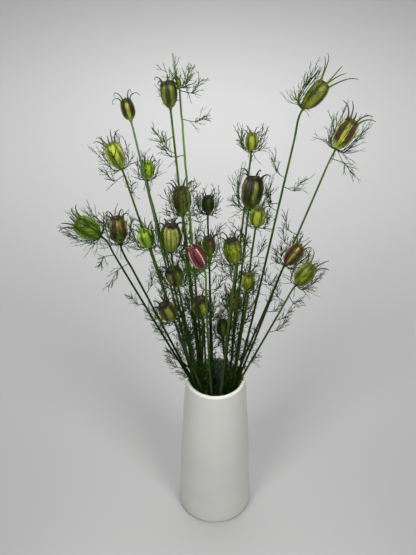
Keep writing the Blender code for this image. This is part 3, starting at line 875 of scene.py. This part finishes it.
threadShape = {
    "radii": (0.24 * mm, 0.36 * mm, 0.5 * mm),  # of the finest, the side threads and the ribs
    "tipShare": 0.45,
    "smoothSteps": 3,
    "roundness": 0,
    "forks": (0, 2, 6),
    "firstFork": 0.12,
    "forkedShare": 0.8,
    "forkDrift": (0.1, 0.9),
    "forkTurn": 137.5,
    "reach": (0.3, 0.52),
    "reachAtRoot": 1.15,
    "reachLoss": 0.5,
    "angle": (0.3, 0.72),
    "wiggle": 0.3,
    "turnBack": 0.25,
    "podGap": 0.8 * mm,
    "rimGap": 4.0 * mm,
    "mouthRadius": 29 * mm,
    "overBox": 4 * mm,
    "besidePod": (-0.1, 1.15),  # the shares of a pod's height where threads keep off it
}

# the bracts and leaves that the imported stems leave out, with their sizes in millimetres
moreThreads = {
    "bracts": {1: 10, 2: 10, 6: 0, 8: 10, 10: 9, 23: 18, 24: 9, 27: 5, 28: 2},
    "otherBracts": 7,
    "leftBracts": (23,),  # with none to the right of the crown
    "bractFlare": (0.2, 1.1),
    "bractRise": (-0.8, 1.3),
    "leaves": 8,  # for the stems in the middle and the bushy ones only
    "bushy": (5,),
    "middle": (-55, 48),
    "leafHeights": (45, 262),
    "leafLengths": (14, 27),
    "mouthLeaves": 14,
    "mouthHeights": (-34, 12),
    "mouthLengths": (7, 15),
    "underPod": 12,
}

stemSeed = 900


def edgesOf(node):
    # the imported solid's points, and the points that each is joined to
    bm = bmesh.new()
    bm.from_mesh(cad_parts[node].data)
    bmesh.ops.remove_doubles(bm, verts=bm.verts, dist=0.01 * mm)
    bm.verts.ensure_lookup_table()
    places = [vert.co.copy() for vert in bm.verts]
    beside = [[edge.other_vert(vert).index for edge in vert.link_edges] for vert in bm.verts]
    bm.free()
    return places, beside


def stemLine(places, beside, top):
    # the middle of the tube at every slice, followed up from the foot
    slices, reach = stemShape["slice"], stemShape["firstReach"]
    pairs = [(a, b) for a, others in enumerate(beside) for b in others if places[a].z < places[b].z]
    low = np.array([places[a] for a, b in pairs])
    high = np.array([places[b] for a, b in pairs])
    foot = min(place.z for place in places)
    ring = np.array([place for place in places if place.z < foot + stemShape["footRing"]])
    centre = (ring.min(0) + ring.max(0)) / 2
    line, step = [Vector(centre)], np.zeros(3)
    for level in np.arange(foot + slices, top.z - slices / 2, slices):
        cut = (low[:, 2] < level) & (high[:, 2] >= level)
        share = (level - low[cut, 2]) / (high[cut, 2] - low[cut, 2])
        points = low[cut] + (high[cut] - low[cut]) * share[:, None]
        near = points[np.linalg.norm(points - centre - step, axis=1) < reach]
        if len(near) < 3:
            continue
        found = (near.min(0) + near.max(0)) / 2
        centre, step = found, found - centre
        line.append(Vector(centre))
        reach = stemShape["reach"]
    middle = [(a + 2 * b + c) / 4 for a, b, c in zip(line, line[1:], line[2:])]
    return [line[0], *middle, line[-1], top]


def threadLines(places, beside, line):
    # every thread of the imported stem, from its root to its tip, ribs first
    def middleOf(ring):
        return sum((places[k] for k in ring), Vector()) / len(ring)

    def hasShortEdge(k):
        return min((places[k] - places[n]).length for n in beside[k]) < packedThread["shortEdge"]

    def nearestTo(point):
        return min(line, key=lambda spot: (spot - point).length)

    ribs, sides = [], []
    for tip, others in enumerate(beside):
        root = middleOf(others)
        widest = max((places[k] - root).length for k in others)
        if hasShortEdge(tip) or widest > packedThread["widest"]:
            continue
        if len(others) > packedThread["ribEdges"]:
            sides.append([root, places[tip]])
            continue
        path, seen, ring = [places[tip]], {tip}, list(others)
        while ring:
            middle = middleOf(ring)
            gap = (nearestTo(middle) - middle).length
            if gap < packedThread["nearStem"] or len(path) > packedThread["mostSteps"]:
                break
            if (path[-1] - middle).length > packedThread["step"]:
                path.append(middle)
            seen.update(ring)
            ring = [k for k in {n for m in ring for n in beside[m]} - seen if hasShortEdge(k)]
        start = nearestTo(path[-1])
        if (start - path[-1]).length >= packedThread["onStem"]:
            path.append(start)
        ribs.append(path[::-1])
    return ribs, sides


podSpaces = [(podMatrix(pod).inverted(), pod.width * mm / 2, pod.length * mm) for pod in pods]


def isFree(point):
    # clear of the pods and the vase, and within the object's box
    over, (start, end) = threadShape["overBox"], threadShape["besidePod"]
    if any(point[k] < lowest[k] - over or point[k] > highest[k] + over for k in range(3)):
        return False
    if point.z < vase["height"] + threadShape["rimGap"]:
        if math.hypot(point.x, point.y) > threadShape["mouthRadius"]:
            return False
    for inverse, half, length in podSpaces:
        inside = inverse @ point
        share = inside.z / length
        if start < share < end:
            girth = half * podProfile(min(max(share, 0.02), 1)) + threadShape["podGap"]
            if math.hypot(inside.x, inside.y) < girth:
                return False
    return True


def growThread(lines, line, level, draw):
    # a thread with side threads, and finer ones on those
    shape = threadShape
    smooth = smoothLine(line, shape["smoothSteps"])
    thick = shape["radii"][level]
    thin = thick * shape["tipShare"]
    lines.append((smooth, taper((thick, (thick + thin) / 2, thin), len(smooth))))
    length = sum((b - a).length for a, b in zip(smooth, smooth[1:]))
    count = shape["forks"][level]
    roll = draw.uniform(0, 2 * math.pi)
    for k in range(count):
        spot = k + draw.uniform(*shape["forkDrift"])
        share = shape["firstFork"] + shape["forkedShare"] * spot / count
        at = min(int(share * (len(smooth) - 1)), len(smooth) - 2)
        start = smooth[at].lerp(smooth[at + 1], share * (len(smooth) - 1) - at)
        way = (smooth[at + 1] - smooth[at]).normalized()
        roll += math.radians(shape["forkTurn"])
        sideways = (Matrix.Rotation(roll, 3, way) @ way.orthogonal()).normalized()
        angle = draw.uniform(*shape["angle"])
        heading = way * math.cos(angle) + sideways * math.sin(angle)
        reach = length * draw.uniform(*shape["reach"])
        reach *= shape["reachAtRoot"] - shape["reachLoss"] * share
        bend = heading.orthogonal().normalized() * draw.uniform(-1, 1) * shape["wiggle"]
        middle = start + (heading + bend) * reach * 0.5
        onward = (heading - bend + way * shape["turnBack"]).normalized()
        end = middle + onward * reach * 0.5
        if isFree(middle) and isFree(end):
            growThread(lines, [start, middle, end], level - 1, draw)


def bractLine(pod, turn, draw):
    # from under the pod out and up round it, past the crown, by distances from its axis and
    # heights over its base
    matrix = podMatrix(pod)
    out = Vector((math.cos(turn), math.sin(turn), 0))
    half, length = pod.width * mm / 2, pod.length * mm
    flare = pod.flare * mm * draw.uniform(*moreThreads["bractFlare"])
    rise = pod.rise * mm * draw.uniform(*moreThreads["bractRise"])
    spots = (
        (0, -1 * mm),
        (0.7 * half + 2.5 * mm, 1 * mm),
        (half + 2 * mm + 0.3 * flare, 0.45 * length),
        (half + 1.5 * mm + flare, length + rise),
    )
    return [matrix @ (out * radius + Vector((0, 0, height))) for radius, height in spots]


def growBracts(lines, i, pod, draw):
    count = moreThreads["bracts"].get(i, moreThreads["otherBracts"])
    first = draw.uniform(0, 2 * math.pi)
    crown = podBase(pod) + podWay(pod) * pod.length * mm
    for k in range(count if pod.flare else 0):
        bract = bractLine(pod, first + k * 2 * math.pi / count, draw)
        if i in moreThreads["leftBracts"] and bract[-1].x > crown.x:
            continue
        if all(isFree(point) for point in bract[1:]):
            growThread(lines, bract, 2, draw)


def leafLine(line, heights, lengths, draw):
    # out of the stem and up, at a height over the vase where the leaves stand
    level = vase["height"] + draw.uniform(*heights) * mm
    at = min(range(len(line)), key=lambda k: abs(line[k].z - level))
    turn = draw.uniform(0, 2 * math.pi)
    out, up = Vector((math.cos(turn), math.sin(turn), 0)), Vector((0, 0, 1))
    length = draw.uniform(*lengths) * mm
    middle = line[at] + (out * 0.7 + up * 0.7).normalized() * length * 0.5
    return [line[at], middle, middle + (out * 0.5 + up * 0.9).normalized() * length * 0.5]


def growLeaves(lines, i, line, draw):
    more, top = moreThreads, line[-1]
    low, high = more["middle"]
    count = more["leaves"] if low * mm < top.x < high * mm or i in more["bushy"] else 0
    places = [(more["leafHeights"], more["leafLengths"])] * count
    places += [(more["mouthHeights"], more["mouthLengths"])] * more["mouthLeaves"]
    leaves = [leafLine(line, heights, lengths, draw) for heights, lengths in places]
    for leaf in leaves:
        clear = leaf[0].z < top.z - more["underPod"] * mm
        if clear and all(isFree(point) for point in leaf[1:]):
            growThread(lines, leaf, 2, draw)


# each skin of the plants: its name, its two greens and its roughness
plantLooks = {
    "green": ("green stems", (0.060, 0.122, 0.005), (0.021, 0.052, 0.002), 0.45),
    "grey": ("grey green stem", (0.125, 0.17, 0.08), (0.052, 0.095, 0.03), 0.5),
    "light": ("light green stem", (0.15, 0.25, 0.05), (0.08, 0.16, 0.025), 0.5),
    "fresh": ("fresh green stems", (0.105, 0.195, 0.022), (0.044, 0.10, 0.007), 0.45),
    "dark": ("shaded dark green stems", (0.035, 0.085, 0.006), (0.012, 0.038, 0.002), 0.45),
    "thread": ("feathery threads", (0.052, 0.124, 0.009), (0.008, 0.033, 0.0015), 0.5),
}
# the stem kinds are partly shaded and lit copies of one green: the dark kind is painted shade for
# stems that lie in shadow, and the light, fresh and grey kinds are partly painted light for stems
# that catch it, partly their own paler green
stemKinds = {4: "grey", 27: "light", 24: "fresh", 26: "fresh", 19: "fresh", 12: "fresh"}
stemKinds.update(dict.fromkeys((1, 2, 8, 10, 11, 17), "dark"))

plantPaint = {
    "patchScale": 30,
    "patchEdges": (0.3, 0.7),
    "streakScale": 900,
    "streakStretch": (1, 1, 0.06),
    "streakEdges": (0.45, 0.75),
    "streakStrength": 0.6,
    "streakShade": 0.55,
    "streakRoughness": 0.12,
    # painted shade: the plants' colours darken towards the vase's mouth, where the dense bouquet
    # shades itself
    "paintedShadeHeights": (0.25, 0.49),  # the plants darken towards the vase's mouth
    "paintedShadeColour": (0.005, 0.018, 0.002),
    "paintedShadeShare": 0.72,
    "specular": 0.06,
    "bump": (0.3, 0.0003),
}


def plantSkin(name, first, second, roughness):
    paint = plantPaint
    finish = Finish(name)
    patches = finish.noise(paint["patchScale"], 2)
    streaks = finish.noise(paint["streakScale"], 2, paint["streakStretch"])
    streaky = streaks.step(*paint["streakEdges"]) * paint["streakStrength"]
    # painted shade, growing towards the vase's mouth, in every stem's and thread's colour
    low = (1 - finish.height().step(*paint["paintedShadeHeights"])) * paint["paintedShadeShare"]
    colour = finish.mix(patches.step(*paint["patchEdges"]), first, second)
    colour = finish.mix(streaky, colour, shaded(second, paint["streakShade"]))
    colour = finish.mix(low, colour, paint["paintedShadeColour"])
    return finish.set(
        Base_Color=colour,
        Roughness=roughness + paint["streakRoughness"] * streaks,
        Specular_IOR_Level=paint["specular"],
        Normal=finish.bump(streaks, *paint["bump"]),
    )


plantSkins = {kind: plantSkin(*look) for kind, look in plantLooks.items()}


def stemRadii(smooth, pod):
    # thinner towards the top, with a collar under the pod
    shape = stemShape
    foot, top = smooth[0], smooth[-1]
    radii = []
    for point in smooth:
        share = (point.z - foot.z) / (top.z - foot.z)
        radius = shape["lowRadius"] + (shape["topRadius"] - shape["lowRadius"]) * share
        collar = max(0, 1 - (point - top).length / shape["collarLength"])
        widest = min(shape["collarRadius"], pod.width * mm * shape["collarShare"])
        radii.append(radius + (widest - radius) * collar**2)
    return radii


def makeStem(i, pod):
    draw = random.Random(stemSeed + i)
    node = f"leafy_stem_{i:02d}"
    places, beside = edgesOf(node)
    top = podBase(pod) + podWay(pod) * stemShape["intoPod"]
    line = stemLine(places, beside, top)
    smooth = smoothLine(line, stemShape["smoothSteps"])
    tubes = [(smooth, stemRadii(smooth, pod))]
    skin = plantSkins[stemKinds.get(i, "green")]
    stem = drawTubes(f"feathery_stem_{i:02d}", tubes, stemShape["roundness"], skin)
    lines = []
    ribs, sides = threadLines(places, beside, line)
    for rib in ribs:
        growThread(lines, rib, 2, draw)
    for root, tip in sides:
        growThread(lines, [root, root.lerp(tip, 0.5), tip], 1, draw)
    growBracts(lines, i, pod, draw)
    growLeaves(lines, i, line, draw)
    skin = plantSkins["thread"]
    threads = drawTubes(f"threads_{i:02d}", lines, threadShape["roundness"], skin)
    stem = joined([stem, threads])
    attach(stem, "root")
    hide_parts(node)
    return len(ribs), len(sides), len(lines)


counts = [makeStem(i, pod) for i, pod in enumerate(pods, 1)]
print("stems made:", counts)


# floor, light and camera

Lamp = namedtuple("Lamp", "name place target size power spread")

studio = {
    "floorSize": 12,
    "floor": (0.49, 0.49, 0.489),
    "floorPatches": 1.02,
    "floorRoughness": 0.9,
    "sky": (0.88, 0.88, 0.88, 1),
    "skyStrength": 0.27,
    "pitch": 52,
    "focalPixels": 900,
    "frameHeight": 555,
    "sensor": 36,
}

lamps = (
    Lamp("left_softbox", (-0.5, -0.75, 1.15), (0, 0, 0.66), 0.4, 2.25, 80),
    Lamp("right_softbox", (0.5, -0.75, 1.15), (0, 0, 0.66), 0.4, 2.25, 80),
    Lamp("pool_light", (0, 1.1, 1.8), (0, 1.1, 0), 0.3, 2.2, 60),
    Lamp("front_pool_light", (0, -0.42, 1.3), (0, -0.42, 0), 0.2, 0.55, 40),
    Lamp("ceiling_light", (0, 1.7, 3.0), (0, 1.7, 0), 3.0, 52, 180),
)


def makeFloor():
    bpy.ops.object.select_all(action="DESELECT")
    bpy.ops.mesh.primitive_plane_add(size=studio["floorSize"])
    floor = bpy.context.object
    floor.name = "studio_floor"
    finish = Finish("pale floor")
    light = shaded(studio["floor"], studio["floorPatches"])
    colour = finish.mix(finish.noise(1.5, 1), studio["floor"], light)
    skin = finish.set(Base_Color=colour, Roughness=studio["floorRoughness"])
    floor.data.materials.append(skin)


def addLamp(lamp):
    light = bpy.data.lights.new(lamp.name, "AREA")
    light.shape = "RECTANGLE"
    light.size = light.size_y = lamp.size
    light.energy = lamp.power
    light.spread = math.radians(lamp.spread)
    made = bpy.data.objects.new(lamp.name, light)
    bpy.context.collection.objects.link(made)
    made.location = lamp.place
    way = Vector(lamp.target) - Vector(lamp.place)
    made.rotation_euler = way.to_track_quat("-Z", "Y").to_euler()


def addSky():
    world = bpy.data.worlds.new("studio")
    world.use_nodes = True
    background = world.node_tree.nodes["Background"]
    background.inputs["Color"].default_value = studio["sky"]
    background.inputs["Strength"].default_value = studio["skyStrength"]
    bpy.context.scene.world = world


def addCamera():
    camera = bpy.data.cameras.new("camera")
    camera.sensor_width = studio["sensor"]
    camera.lens = studio["focalPixels"] * studio["sensor"] / studio["frameHeight"]
    eye = bpy.data.objects.new("camera", camera)
    bpy.context.collection.objects.link(eye)
    eye.location = cameraPlace
    eye.rotation_euler = (math.radians(studio["pitch"]), 0, 0)
    bpy.context.scene.camera = eye


makeFloor()
for lamp in lamps:
    addLamp(lamp)
addSky()
addCamera()
bpy.context.scene.view_settings.view_transform = "Standard"

print("stage set")
